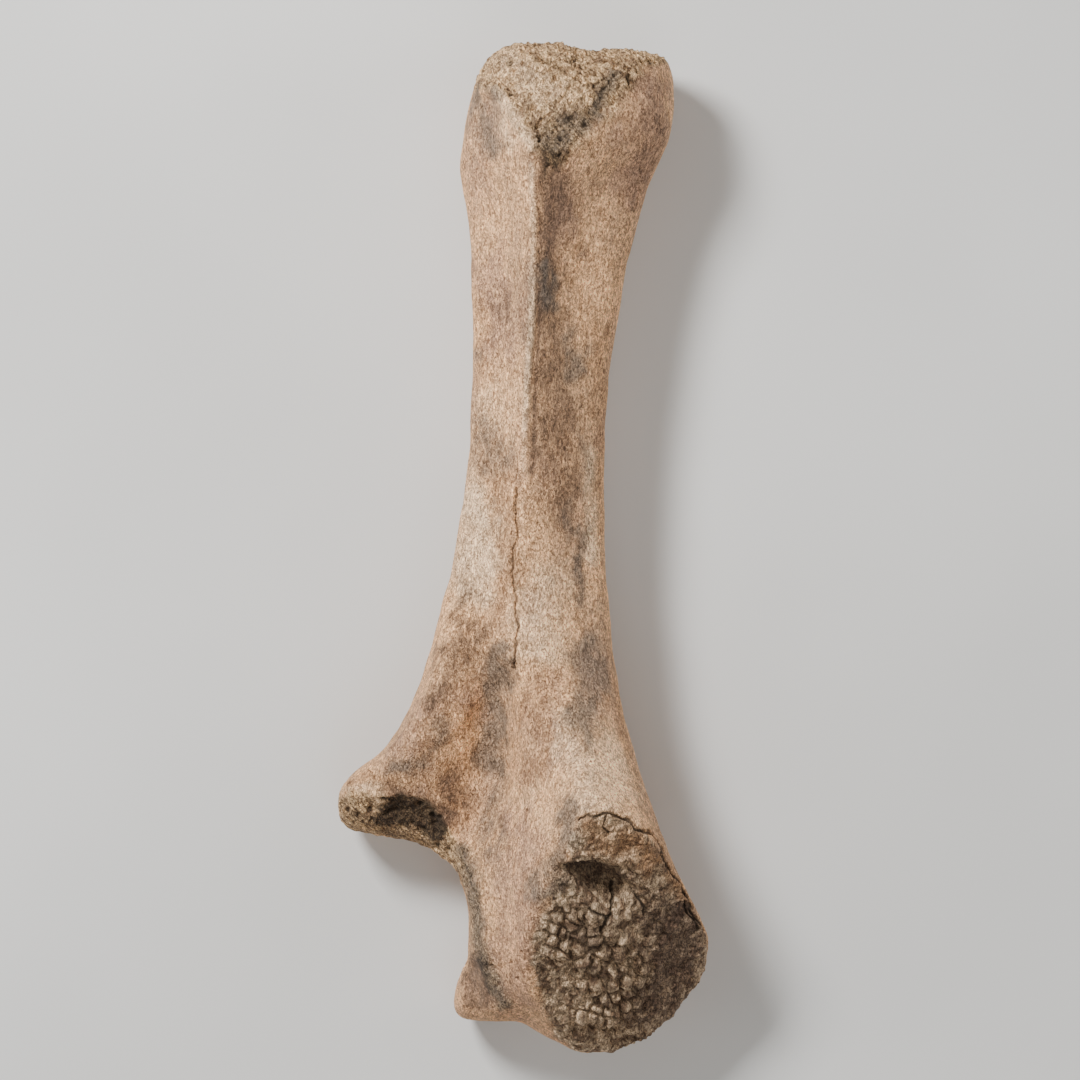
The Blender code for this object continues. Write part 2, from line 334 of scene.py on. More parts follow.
# Stains, and the highlights, sheen and shade painted in among them.
STAINS_AND_PAINTED_LIGHT: dict[Mask, list[Mark]] = {
    Mask.PALE: [
        # Painted highlight: a pale line along the crest's edge, where the light catches it.
        Mark([(3.4, 158.0), (4.0, 130.0), (3.6, 111.6)], 2.7, 0.6, True),
        Mark([(3.6, 111.6), (2.9, 90.9), (1.3, 70.1)], 2.7, 0.85, True),
        Mark([(1.3, 70.1), (0.5, 49.4)], 2.5, 0.65, True),
        Mark([(0.5, 49.4), (-0.4, 32.6)], 2.2, 0.45, True),
        # Painted highlight on the lit left flank of the raised left limb of the V at the lower end.
        Mark([(4.1, 165.6), (-1.7, 175.5), (-6.6, 184.7), (-10.0, 188.8)], 4.0, 1.0, True),
        # Painted sheen: a pale band down the right face of the shaft.
        Mark([(27.0, 40.1), (27.6, 20.3), (28.2, -4.0)], 6.0, 0.8, True),
        Mark([(-17.0, 62.0), (-14.0, 55.0)], 16.0, 0.4),
        Mark([(-20.0, 24.0), (-19.0, 5.0), (-22.0, -12.0)], 19.0, 0.9),
        Mark([(-10.0, 203.0), (2.5, 196.6), (12.9, 187.5)], 18.0, 0.7),
        Mark([(19.1, -81.3), (29.5, -87.6), (37.8, -95.9), (31.5, -104.2)], 24.0, 0.65),
        Mark([(1.0, -100.0), (0.0, -124.0), (-6.0, -140.0)], 18.0, 0.25),
        Mark([(-77.0, -97.0), (-68.0, -100.0), (-60.0, -101.0)], 6.0, 0.6),
        Mark([(32.8, -113.5)], 10.0, 1.0),
        Mark([(25.0, -114.5)], 8.0, 0.8),
        Mark([(6.0, -14.0), (8.0, -40.0)], 22.0, 0.6),
        # Painted highlight, left of the V's raised left limb.
        Mark([(-4.0, 168.0), (-10.0, 186.0)], 5.0, 0.7),
    ],
    Mask.ROSE: [
        Mark([(-22.0, -60.0), (-30.0, -66.0), (-39.0, -66.7), (-54.5, -84.3)], 18.0, 0.6),
        Mark([(50.0, 190.0), (54.0, 170.0), (44.0, 150.0)], 18.0, 0.8),
        Mark([(-14.0, 120.0), (-12.0, 100.0), (-14.0, 84.0)], 14.0, 0.8),
        Mark([(10.0, -60.0), (6.0, -90.0)], 18.0, 0.6),
        Mark([(-3.0, -118.0), (0.0, -150.0), (-4.0, -185.0)], 18.0, 0.85),
        Mark([(14.0, 148.0), (14.0, 120.0)], 12.0, 0.8),
    ],
    Mask.OCHRE: [
        Mark([(-31.9, -95.8), (-27.7, -104.2), (-25.2, -114.0)], 13.0, 1.0),
        Mark([(-69.7, -94.2), (-61.8, -95.0), (-54.8, -98.4)], 9.0, 0.9),
        Mark([(-11.0, 32.0), (-9.0, 12.0), (-8.0, -12.0), (-9.0, -24.0)], 12.0, 0.9),
        Mark([(31.0, 90.0), (32.0, 40.0), (34.0, 10.0)], 9.0, 0.7),
        Mark([(4.0, -50.0), (9.0, -75.0), (5.0, -92.0)], 11.0, 0.8),
        Mark([(29.5, -121.0), (37.5, -118.9), (45.9, -120.6), (53.5, -127.4)], 11.0, 1.1),
        Mark([(33.0, -55.0), (42.0, -75.0), (50.0, -98.0)], 7.0, 0.8),
        Mark([(55.0, -120.0), (63.0, -134.0), (70.0, -147.0)], 6.0, 0.9),
        Mark([(-19.0, 100.0), (-18.0, 70.0)], 9.0, 0.6),
    ],
    Mask.UMBER: [
        # Brown stain right of the crest's upper part, darkened further as painted shade where the face turns
        # away.
        Mark([(8.0, 160.0), (9.0, 140.7), (9.0, 124.1), (8.6, 107.5), (8.0, 96.0)], 8.0, 0.9, True),
        # Painted shade in the narrow drop just right of the crest.
        Mark([(6.8, 98.0), (6.0, 80.0), (5.0, 66.0), (4.4, 48.0), (3.4, 32.0)], 3.0, 0.9, True),
        Mark([(11.0, 160.0), (13.0, 146.0), (12.0, 130.0), (10.0, 107.5)], 17.0, 0.75),
        Mark([(8.5, 98.0), (9.0, 73.8), (13.0, 49.4), (16.0, 28.6), (17.0, 16.0)], 17.0, 0.75),
        Mark([(-23.2, -15.3), (-25.3, -34.4), (-22.0, -44.0)], 6.0, 0.75),
        Mark([(-34.0, -42.8), (-26.3, -40.5), (-16.6, -33.0)], 6.0, 0.8),
        Mark([(-27.4, -46.1), (-32.5, -54.4), (-38.9, -64.6)], 8.0, 0.8),
        Mark([(-19.0, -15.0), (-26.0, -10.0)], 5.0, 0.7),
        Mark([(-54.5, -109.1), (-45.2, -110.4), (-36.2, -115.3)], 15.5, 1.4),
        Mark([(-74.0, -108.0), (-60.0, -112.0)], 8.0, 0.5),
        # Dark brown on the tip's lower right, darkened further as painted shade.
        Mark([(60.0, -154.0), (64.0, -170.0), (56.0, -186.0)], 24.0, 0.9),
        # Umber stain on the beak facet, darkened further as painted shade.
        Mark([(-21.5, -174.0), (-19.5, -187.0)], 10.0, 1.6, True),
        Mark([(-29.0, -96.0), (-27.0, -105.0)], 9.0, 0.85),
        Mark([(50.0, 190.0), (54.0, 172.0), (48.0, 152.0)], 17.0, 0.5),
        Mark([(25.0, -158.0), (30.0, -170.0)], 13.0, 0.6),
        Mark([(22.0, -3.0), (24.1, -17.0)], 6.5, 0.7),
        Mark([(-10.5, 101.0), (-8.0, 94.0)], 6.0, 0.6),
        Mark([(13.0, 172.0), (20.7, 176.0), (28.0, 181.0), (33.6, 188.0)], 8.0, 0.45),
        # Painted shadow in the pit under the lip of the tip.
        Mark([(22.0, -134.0), (31.0, -136.0), (40.0, -131.5)], 6.0, 0.8),
    ],
    Mask.GREY: [
        Mark([(-16.2, 184.3), (-15.4, 176.0), (-13.3, 167.7)], 11.0, 1.0),
        Mark([(8.7, 170.9), (14.9, 168.7), (22.2, 174.9)], 12.0, 0.8),
        Mark([(31.5, 184.3), (36.0, 191.3)], 9.0, 0.9),
        Mark([(9.0, 113.0), (10.0, 103.0)], 8.0, 1.0),
        Mark([(20.8, 83.6), (21.2, 74.9)], 8.0, 0.9),
        # The grey tint of the painted sheen down the right face.
        Mark([(25.6, 45.1), (26.4, 20.3), (26.8, -4.0)], 5.0, 0.3),
        Mark([(21.0, 16.0), (21.5, 4.0), (24.1, -20.0)], 9.0, 0.75),
        # The hollow behind the wing: grey stain and painted shade.
        Mark([(-9.0, -46.0), (-12.0, -56.0), (-13.5, -66.0), (-14.0, -76.0)], 9.0, 1.3),
        Mark([(-13.5, -60.0), (-14.5, -92.0)], 10.0, 1.2),
        Mark([(-13.2, -95.0), (-12.5, -120.0)], 9.0, 0.6),
        Mark([(-22.5, -172.0), (-20.0, -184.0)], 7.0, 0.25, True),
        Mark([(24.5, -35.8), (27.4, -48.1), (27.4, -58.5), (25.3, -74.0)], 11.0, 0.9),
        Mark([(19.9, -109.3), (16.4, -119.8), (11.8, -132.0), (7.8, -143.0)], 8.0, 1.0),
        Mark([(-33.2, -75.5), (-46.2, -88.6), (-55.5, -91.7)], 8.0, 0.8),
        Mark(NOTCH_RIM, 6.5, 1.0, True),
        Mark([(-22.0, 84.0), (-20.0, 79.0)], 5.0, 0.7),
        Mark([(-14.0, 50.0), (-12.0, 38.0)], 12.0, 0.7),
    ],
}


@dataclass(frozen=True)
class GrowthSurface:
    """The growth surface on the elbow's tip, from which a plate of cartilage came away.

    It has rounded billows low down, flat pebbles on the right, granules elsewhere, and a pit under a ragged
    lip with a smooth tongue of bone below it.
    """

    outward: tuple[float, float, float] = (0.31, -0.51, 0.8)
    outward_fade: tuple[float, float] = (0.3, 0.6)
    edge_width: float = 6.0
    billow_bed: Mark = Mark([(19.5, -158.0), (31.0, -167.0), (40.0, -175.0), (32.0, -187.0)], 22.5, 1.4)
    billow_height: float = 3.4
    billow_steps: float = 1.5
    pebble_bed: Mark = Mark([(44.0, -137.0), (50.0, -150.0), (56.0, -159.0)], 14.0)
    pebble_height: float = 1.6
    pebble_steps: float = 0.4
    pebble_share: float = 0.7
    flatness: float = 0.35
    edge_radius: float = 0.8
    groove_width: float = 0.45
    groove_breaks: Grain = Grain(5.0, 52.0)
    granules: tuple[Grain, ...] = (Grain(1.6, 40.0, 0.9), Grain(3.2, 47.0, 0.8))
    granules_under_lumps: float = 0.35
    swell: Grain = Grain(9.0, 40.0, 0.9)
    tongue: Mark = Mark([(17.5, -135.5), (24.0, -143.0), (30.0, -148.5), (34.5, -151.5)], 5.5, 2.8)
    tongue_clearing: float = 6.5
    pit: Mark = Mark([(19.5, -130.2), (26.0, -132.6), (33.0, -136.2), (38.5, -138.5)], 7.5, -5.0)
    lip_jags: tuple[Grain, ...] = (Grain(4.5, 90.0, 3.0), Grain(1.8, 95.0))
    lip_fade: tuple[float, float] = (-0.8, 1.8)
    cell_size: float = 5.4
    cell_corner: tuple[float, float] = (-5.0, -222.0)
    cell_rows: int = 30
    cell_columns: int = 24
    row_pitch: float = 0.87
    cell_scatter: float = 0.42
    cells_missing: float = 0.16
    cell_seed: int = 5
    cell_bends: Wander = Wander(4.0, 1.3, 70.0)
    dome_reach: float = 0.72

    def area(self, surface: Surface, ragged: np.ndarray) -> np.ndarray:
        """The mask of the growth surface, from the skin and its points shifted in plan."""
        facing = smooth_step(surface.normals @ np.array(self.outward), *self.outward_fade)
        return within(ragged, TIP_OUTLINE, self.edge_width) * facing

    def relief(self, surface: Surface, growth: np.ndarray) -> tuple[np.ndarray, np.ndarray]:
        """The billows, pebbles and granules.

        Args:
            surface: the skin.
            growth: the mask of the growth surface.

        Returns:
            The lift, and the mask of the grooves between the lumps.
        """
        lumpy = np.minimum(surface.stroke(self.billow_bed), 1.0) * growth
        lumpy *= 1.0 - surface.stroke(Mark(self.tongue.path, self.tongue_clearing))
        pebbly = surface.stroke(self.pebble_bed) * growth
        border, level, roundness = self.cells(surface, growth > 0.02)
        dome = self.flatness + (1.0 - self.flatness) * roundness
        dome *= 1.0 - np.exp(-border / self.edge_radius)
        lumps = dome * (self.billow_height * lumpy + self.pebble_height * pebbly)
        lumps += dome * level * (self.billow_steps * lumpy + self.pebble_steps * pebbly)
        strong = np.clip(lumpy + self.pebble_share * pebbly, 0.0, 1.0)
        granules = surface.grain(*self.granules) * (1.0 - (1.0 - self.granules_under_lumps) * strong)
        broken = smooth_step(surface.grain(self.groove_breaks), -0.35, 0.15)
        grooves = np.exp(-border / self.groove_width) * strong * growth * (0.25 + 0.75 * broken)
        return growth * (lumps + granules + surface.grain(self.swell)), grooves

    def cells(self, surface: Surface, where: np.ndarray) -> tuple[np.ndarray, np.ndarray, np.ndarray]:
        """The cells that the lumps fill, laid out over the tip on a grid whose middles are scattered.

        Args:
            surface: the skin.
            where: the points that need them.

        Returns:
            Each point's distance to its cell's border, in millimetres, how high its cell stands, from -1
            to 1, and the height of a round dome there, from 0 to 1.
        """
        picks = np.random.default_rng(self.cell_seed)
        rows, columns = np.mgrid[0 : self.cell_rows, 0 : self.cell_columns]
        columns = columns + 0.5 * (rows % 2)
        middles = np.column_stack([columns.ravel(), rows.ravel() * self.row_pitch])
        middles = middles * self.cell_size + self.cell_corner
        middles += picks.uniform(-self.cell_scatter, self.cell_scatter, middles.shape) * self.cell_size
        middles = middles[picks.random(len(middles)) > self.cells_missing]
        levels = picks.uniform(-1.0, 1.0, len(middles))
        tree = kdtree.KDTree(len(middles))
        for index, (x, y) in enumerate(middles):
            tree.insert((x, y, 0.0), index)
        tree.balance()
        border, level, reach = np.full(len(where), 9.0), np.zeros(len(where)), np.zeros(len(where))
        bent = surface.points[:, :2] + surface.wander(self.cell_bends)
        for index in np.flatnonzero(where):
            (near, first, gap), (far, _, further) = tree.find_n((*bent[index], 0.0), 2)
            border[index] = (further**2 - gap**2) / (2.0 * (far - near).length)
            level[index] = levels[first]
            reach[index] = gap / (self.dome_reach * self.cell_size)
        return border, level, np.sqrt(np.clip(1.0 - reach**2, 0.0, 1.0))

    def pit_depth(self, surface: Surface) -> np.ndarray:
        """The pit at the tip's top: it drops steeply under its lip and rises gently towards the billows.

        Args:
            surface: the skin.

        Returns:
            The lift at each point, which is 0 or less.
        """
        lip_x, lip_y = zip(*PIT_LIP)
        below_lip = np.interp(surface.points[:, 0], lip_x, lip_y) - surface.points[:, 1]
        below_lip += surface.grain(*self.lip_jags)
        return surface.stroke(self.pit) * smooth_step(below_lip, *self.lip_fade)


@dataclass(frozen=True)
class UlnaSkin:
    """The bone's visible skin."""

    voxel: float = 2.5
    soften_rounds: int = 2
    recover_rounds: int = 4
    fine_round_wing: float = 13.0
    fine_round_crest: float = 3.5
    fine_round_lines: float = 2.5
    finest_round_lines: float = 1.1
    tip: GrowthSurface = GrowthSurface()
    cracks: tuple[Mark, ...] = (
        Mark(SHAFT_CRACK, 0.82, -0.9),
        Mark(RIM_CRACK, 1.1, -1.5),
        Mark([(66.0, -145.6), (69.0, -151.5), (71.6, -157.5)], 0.9, -1.1),
        Mark([(36.1, -138.5), (36.5, -145.2), (36.1, -150.6), (33.6, -153.1), (31.5, -156.5)], 1.2, -1.8),
        Mark([(33.6, -153.1), (31.5, -151.5), (27.0, -147.7)], 1.1, -1.5),
        Mark([(44.0, -139.9), (47.7, -145.2), (49.6, -150.6)], 1.0, -1.2),
        Mark([(34.5, -109.8), (33.0, -114.0), (35.5, -117.5)], 0.9, -0.9),
    )
    relief: tuple[Mark, ...] = (
        Mark([(4.1, 165.6), (-1.7, 175.5), (-6.6, 184.7), (-10.0, 188.8), (-15.8, 190.9)], 5.0, 2.2),
        Mark([(5.8, 163.5), (11.6, 158.9), (23.2, 168.1), (29.9, 173.9), (38.2, 182.2)], 4.0, 0.8),
        Mark([(6.4, 170.6), (13.0, 172.0), (20.7, 177.0), (28.0, 183.0), (33.6, 188.8)], 10.0, -2.3),
        Mark([(-6.6, 200.7), (3.0, 194.0), (12.9, 187.2)], 9.0, 0.9),
        Mark([(-15.5, 182.0), (-14.0, 172.0)], 8.0, -0.8),
        Mark(WING_EDGE, 2.6, 0.9),
        Mark([(-53.5, -109.1), (-45.2, -110.4), (-38.2, -113.3)], 9.0, -2.2),
        Mark([(-12.4, -50.0), (-12.4, -62.7), (-13.5, -78.0), (-14.0, -92.0)], 12.0, -2.8),
        Mark([(-6.6, -44.6), (-15.0, -53.0), (-24.1, -65.0), (-34.0, -78.1)], 7.0, 1.4),
        Mark(PIT_LIP, 4.0, 1.8),
        Mark([(28.0, -138.5), (32.0, -141.5)], 4.0, -1.0),
        Mark([(41.5, -132.0), (46.5, -136.5)], 6.0, 1.8),
        Mark([(17.0, -194.0), (27.0, -192.6), (36.1, -194.2), (44.0, -198.4)], 2.6, 1.1),
        Mark([(21.0, -197.5), (29.5, -198.4), (36.1, -199.8)], 3.0, -1.8),
        Mark([(-21.5, -175.5), (-19.6, -187.5)], 8.0, -2.4),
        Mark([(-16.5, -172.0), (-12.5, -181.0), (-8.0, -188.0)], 4.0, 1.2),
        Mark([(57.0, -190.0), (50.0, -198.0)], 14.0, 2.2),
    )
    # How far right of the crest, and the lift there.
    crest_profile: tuple[tuple[float, float], ...] = (
        (-6.0, 0.0), (-2.0, 0.5), (-0.2, 1.0), (0.9, -0.4), (2.6, -0.7), (7.0, 0.0)
    )
    unevenness: tuple[Grain, ...] = (Grain(17.0, 1.7, 0.7), Grain(7.0, 5.2, 0.3))
    crumbs: tuple[Grain, ...] = (Grain(2.6, 2.9, 0.7), Grain(1.4, 9.6, 0.4))
    end_fibres: Grain = Grain(1.6, 6.3, 1.5, 4.5, 0.75)
    pocks: Grain = Grain(3.4, 14.2, 2.4)
    pocks_spare: float = 0.192
    pore_radius: float = 1.1
    pore_depth: float = 0.9
    area_edges: Wander = Wander(6.0, 1.6, 3.1)
    rim_edges: Wander = Wander(5.0, 1.5, 17.0)
    stain_and_light_edges: tuple[Wander, ...] = (Wander(13.0, 5.0, 50.0), Wander(4.0, 1.8, 61.0))
    relief_routes: Wander = Wander(8.0, 1.0, 44.0)
    crack_routes: tuple[Wander, ...] = (Wander(7.0, 1.1, 21.0), Wander(1.8, 0.35, 27.0))
    # The axis, along X, of the upper arm bone's pulley, and how far from it the joint surface fades out.
    pulley_axis: tuple[float, float] = (-151.0, 2.0)
    pulley_reach: tuple[float, float] = (39.0, 44.0)

    def build(self) -> bpy.types.Object:
        """Makes the skin, carves it, paints it and gives it its finish.

        Returns:
            The finished piece.
        """
        mesh = self.even_copy()
        self.refine(mesh, self.fine_areas)
        self.refine(mesh, self.fine_areas)
        self.refine(mesh, self.fine_lines)
        surface = Surface(mesh)
        masks = self.areas(surface)
        self.carve(surface, masks)
        for mask, values in masks.items():
            surface.paint(mask, values)
        mesh.shade_smooth()
        mesh.materials.clear()
        mesh.materials.append(FossilBone().make())
        skin = bpy.data.objects.new("fossil_ulna", mesh)
        bpy.context.scene.collection.objects.link(skin)
        log.info("fossil_ulna: skin of %d faces and %d points", len(mesh.polygons), len(mesh.vertices))
        return skin

    def even_copy(self) -> bpy.types.Mesh:
        """Copies the solid, and merges and remeshes the copy to even faces.

        Returns:
            The new mesh.
        """
        solid = bmesh.new()
        solid.from_mesh(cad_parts["ulna"].data)
        bmesh.ops.remove_doubles(solid, verts=solid.verts, dist=0.00001)
        faces = bvhtree.BVHTree.FromBMesh(solid)
        mesh = bpy.data.meshes.new("fossil_ulna")
        solid.to_mesh(mesh)
        solid.free()
        copy = bpy.data.objects.new("even_copy", mesh)
        bpy.context.scene.collection.objects.link(copy)
        remesh = copy.modifiers.new("even", "REMESH")
        remesh.mode = "VOXEL"
        remesh.voxel_size = self.voxel * MM
        soften = copy.modifiers.new("soften", "SMOOTH")
        soften.iterations = self.soften_rounds
        even = bpy.data.meshes.new_from_object(copy.evaluated_get(bpy.context.evaluated_depsgraph_get()))
        bpy.data.objects.remove(copy)
        self.recover(even, faces)
        return even

    def recover(self, mesh: bpy.types.Mesh, solid: bvhtree.BVHTree) -> None:
        """Moves the skin back to the solid where remeshing shrank it.

        Args:
            mesh: the skin, which is changed.
            solid: the solid's faces. They are flat and must not show, so each point's move is averaged
                with those of the points round it.
        """
        surface = Surface(mesh)
        nearest = [solid.find_nearest(Vector(point) * MM)[0][:] for point in surface.points]
        lift = ((np.array(nearest) / MM - surface.points) * surface.normals).sum(axis=1)
        starts, ends = np.array([edge.vertices[:] for edge in mesh.edges]).T
        count = len(lift)
        neighbours = np.bincount(starts, minlength=count) + np.bincount(ends, minlength=count)
        for _ in range(self.recover_rounds):
            around = np.bincount(starts, lift[ends], count) + np.bincount(ends, lift[starts], count)
            lift = (lift + around / neighbours) / 2.0
        surface.carve(lift)

    def refine(self, mesh: bpy.types.Mesh, wanted: Callable[[np.ndarray, np.ndarray], np.ndarray]) -> None:
        """Halves the faces whose middles are in the wanted places, and rounds what it made.

        Args:
            mesh: the mesh, which is changed.
            wanted: takes the faces' middles and normals, in millimetres, and says which to halve.
        """
        work = bmesh.new()
        work.from_mesh(mesh)
        work.faces.ensure_lookup_table()
        middles = np.array([face.calc_center_median()[:] for face in work.faces]) / MM
        normals = np.array([face.normal[:] for face in work.faces])
        chosen = [work.faces[index] for index in np.flatnonzero(wanted(middles, normals))]
        edges = {edge for face in chosen for edge in face.edges}
        made = bmesh.ops.subdivide_edges(work, edges=list(edges), cuts=1, use_grid_fill=True)
        fresh = [item for item in made["geom_inner"] if isinstance(item, bmesh.types.BMVert)]
        bmesh.ops.smooth_vert(
            work, verts=fresh, factor=0.5, use_axis_x=True, use_axis_y=True, use_axis_z=True
        )
        work.to_mesh(mesh)
        work.free()

    def fine_areas(self, points: np.ndarray, normals: np.ndarray) -> np.ndarray:
        """Where the faces are made fine: growth surfaces, rough ends, the crest and the wing's worn edge.

        Args:
            points: the faces' middles.
            normals: their normals.

        Returns:
            True for each face to halve.
        """
        seen = normals[:, 2] > 0.0
        tip = inside(points, TIP_OUTLINE) & seen
        end = inside(points, ROUGH_END_OUTLINE) & seen
        wing = distance_to_path(points, WING_EDGE) < self.fine_round_wing
        wing &= (normals[:, 1] < 0.2) & (normals[:, 2] > -0.2)
        crest = (distance_to_path(points, CREST) < self.fine_round_crest) & seen
        return tip | end | wing | crest | self.near_lines(points, normals, self.fine_round_lines)

    def fine_lines(self, points: np.ndarray, normals: np.ndarray) -> np.ndarray:
        """Where the faces are halved again: along the cracks and round the pores."""
        return self.near_lines(points, normals, self.finest_round_lines)

    def near_lines(self, points: np.ndarray, normals: np.ndarray, reach: float) -> np.ndarray:
        """Tells which faces are near a crack or a pore, seen from above.

        Args:
            points: the faces' middles.
            normals: their normals.
            reach: how near.

        Returns:
            True for each near one.
        """
        gaps = [distance_to_path(points, crack.path) for crack in self.cracks]
        gaps += [distance_to_path(points, [pore]) for pore in PORES]
        return (np.min(gaps, axis=0) < reach) & (normals[:, 2] > 0.0)

    def areas(self, surface: Surface) -> dict[Mask, np.ndarray]:
        """The masks of the bone's kinds of surface and of its stains.

        Args:
            surface: the skin before it is carved.

        Returns:
            One array for each mask. The one of hollows is still empty.
        """
        points, normals = surface.points, surface.normals
        ragged = points[:, :2] + surface.wander(self.area_edges)
        lower_cap = smooth_step(points[:, 1], 196.0, 202.0) * smooth_step(normals[:, 1], 0.35, 0.75)
        rough_end = within(ragged, ROUGH_END_OUTLINE, 9.0) * smooth_step(normals[:, 2], -0.1, 0.15)
        wing = within(ragged, WING_EDGE + BELOW_WING, 5.0) * smooth_step(-normals[:, 1], -0.35, 0.05)
        wing *= smooth_step(points[:, 2], 8.0, 16.0)
        rim = surface.stroke(Mark(NOTCH_RIM, 6.0, 0.8), surface.wander(self.rim_edges))
        cloudy = surface.wander(*self.stain_and_light_edges)
        return {
            Mask.SPONGY: np.maximum.reduce([rough_end, wing, rim, lower_cap]),
            Mask.GROWTH: self.tip.area(surface, ragged),
            Mask.WORN: self.joint_surface(surface),
            Mask.HOLLOW: np.zeros(len(points)),
            **{mask: surface.strokes(marks, cloudy) for mask, marks in STAINS_AND_PAINTED_LIGHT.items()},
        }

    def joint_surface(self, surface: Surface) -> np.ndarray:
        """A mask of the smooth surface that the upper arm bone turned on, and of the facet by the beak.

        Args:
            surface: the skin.

        Returns:
            The mask.
        """
        gap = np.linalg.norm(surface.points[:, 1:] - self.pulley_axis, axis=1)
        near, far = self.pulley_reach
        bowl = smooth_step(-gap, -far, -near) * smooth_step(-surface.normals[:, 2], -0.5, 0.0)
        return np.maximum(bowl, surface.stroke(Mark([(-21.5, -177.0), (-19.6, -187.5)], 7.0)))

    def carve(self, surface: Surface, masks: dict[Mask, np.ndarray]) -> None:
        """Carves the relief from coarse to fine, and collects the grooves in the mask of hollows, which
        paints shade and soil into them.

        Args:
            surface: the skin.
            masks: its masks, of which the one of hollows is filled in.
        """
        spongy, growth = masks[Mask.SPONGY], masks[Mask.GROWTH]
        plain = 1.0 - np.maximum(growth, masks[Mask.WORN])
        routes = surface.wander(self.relief_routes)
        pit = self.tip.pit_depth(surface)
        shaped = surface.strokes(self.relief, routes) + surface.stroke(self.tip.tongue, routes)
        shaped += self.crest_step(surface)
        surface.carve(surface.grain(*self.unevenness) * plain + shaped + pit)

        on_end = spongy * smooth_step(surface.points[:, 1], 150.0, 165.0)
        crumbs = surface.grain(*self.crumbs) * spongy + surface.grain(self.end_fibres) * on_end
        pocks = np.minimum(surface.grain(self.pocks) + self.pocks_spare, 0.0) * spongy
        lumps, grooves = self.tip.relief(surface, growth)
        pores = surface.strokes([Mark([pore], self.pore_radius, -self.pore_depth) for pore in PORES])
        routes = surface.wander(*self.crack_routes)
        cracks = np.min([surface.stroke(crack, routes) for crack in self.cracks], axis=0)
        surface.carve(crumbs + pocks + lumps + pores + cracks)
        # The mask of hollows paints shade and soil into the cracks, pores, grooves, pocks and the pit.
        depth = np.maximum.reduce([-cracks, -pores / 1.2, grooves * 0.9, -pocks * 0.6, -pit / 9.0])
        masks[Mask.HOLLOW] = np.clip(depth, 0.0, 1.0)
        surface.settle()

    def crest_step(self, surface: Surface) -> np.ndarray:
        """The sharp rear crest: the surface rises to it from the left and drops off it on the right.

        Args:
            surface: the skin.

        Returns:
            The lift at each point.
        """
        xs, ys = zip(*reversed(CREST))
        right_of_crest, lifts = zip(*self.crest_profile)
        x, y = surface.points[:, 0], surface.points[:, 1]
        profile = np.interp(x - np.interp(y, ys, xs), right_of_crest, lifts)
        length = smooth_step(y, 24.0, 60.0) * smooth_step(-y, -168.0, -158.0)
        return profile * length * surface.upward()


def linear_colour(hex_value: str) -> tuple[float, float, float, float]:
    """An sRGB hex colour as linear red, green, blue and alpha."""
    parts = [int(hex_value[start : start + 2], 16) / 255.0 for start in (1, 3, 5)]
    return (*(part / 12.92 if part <= 0.04045 else ((part + 0.055) / 1.055) ** 2.4 for part in parts), 1.0)


def add_node(
    tree: bpy.types.NodeTree, kind: str, inputs: dict[str | int, object] | None = None, **settings: object
) -> bpy.types.Node:
    """Adds a node to a material.

    Args:
        tree: the material's node tree.
        kind: the node's type.
        inputs: values for its inputs, by name or number; an output of another node is linked instead.
        settings: the node's own properties.

    Returns:
        The new node.
    """
    node = tree.nodes.new(kind)
    for name, value in settings.items():
        setattr(node, name, value)
    for key, value in (inputs or {}).items():
        if isinstance(value, Socket):
            tree.links.new(value, node.inputs[key])
        else:
            node.inputs[key].default_value = value
    return node


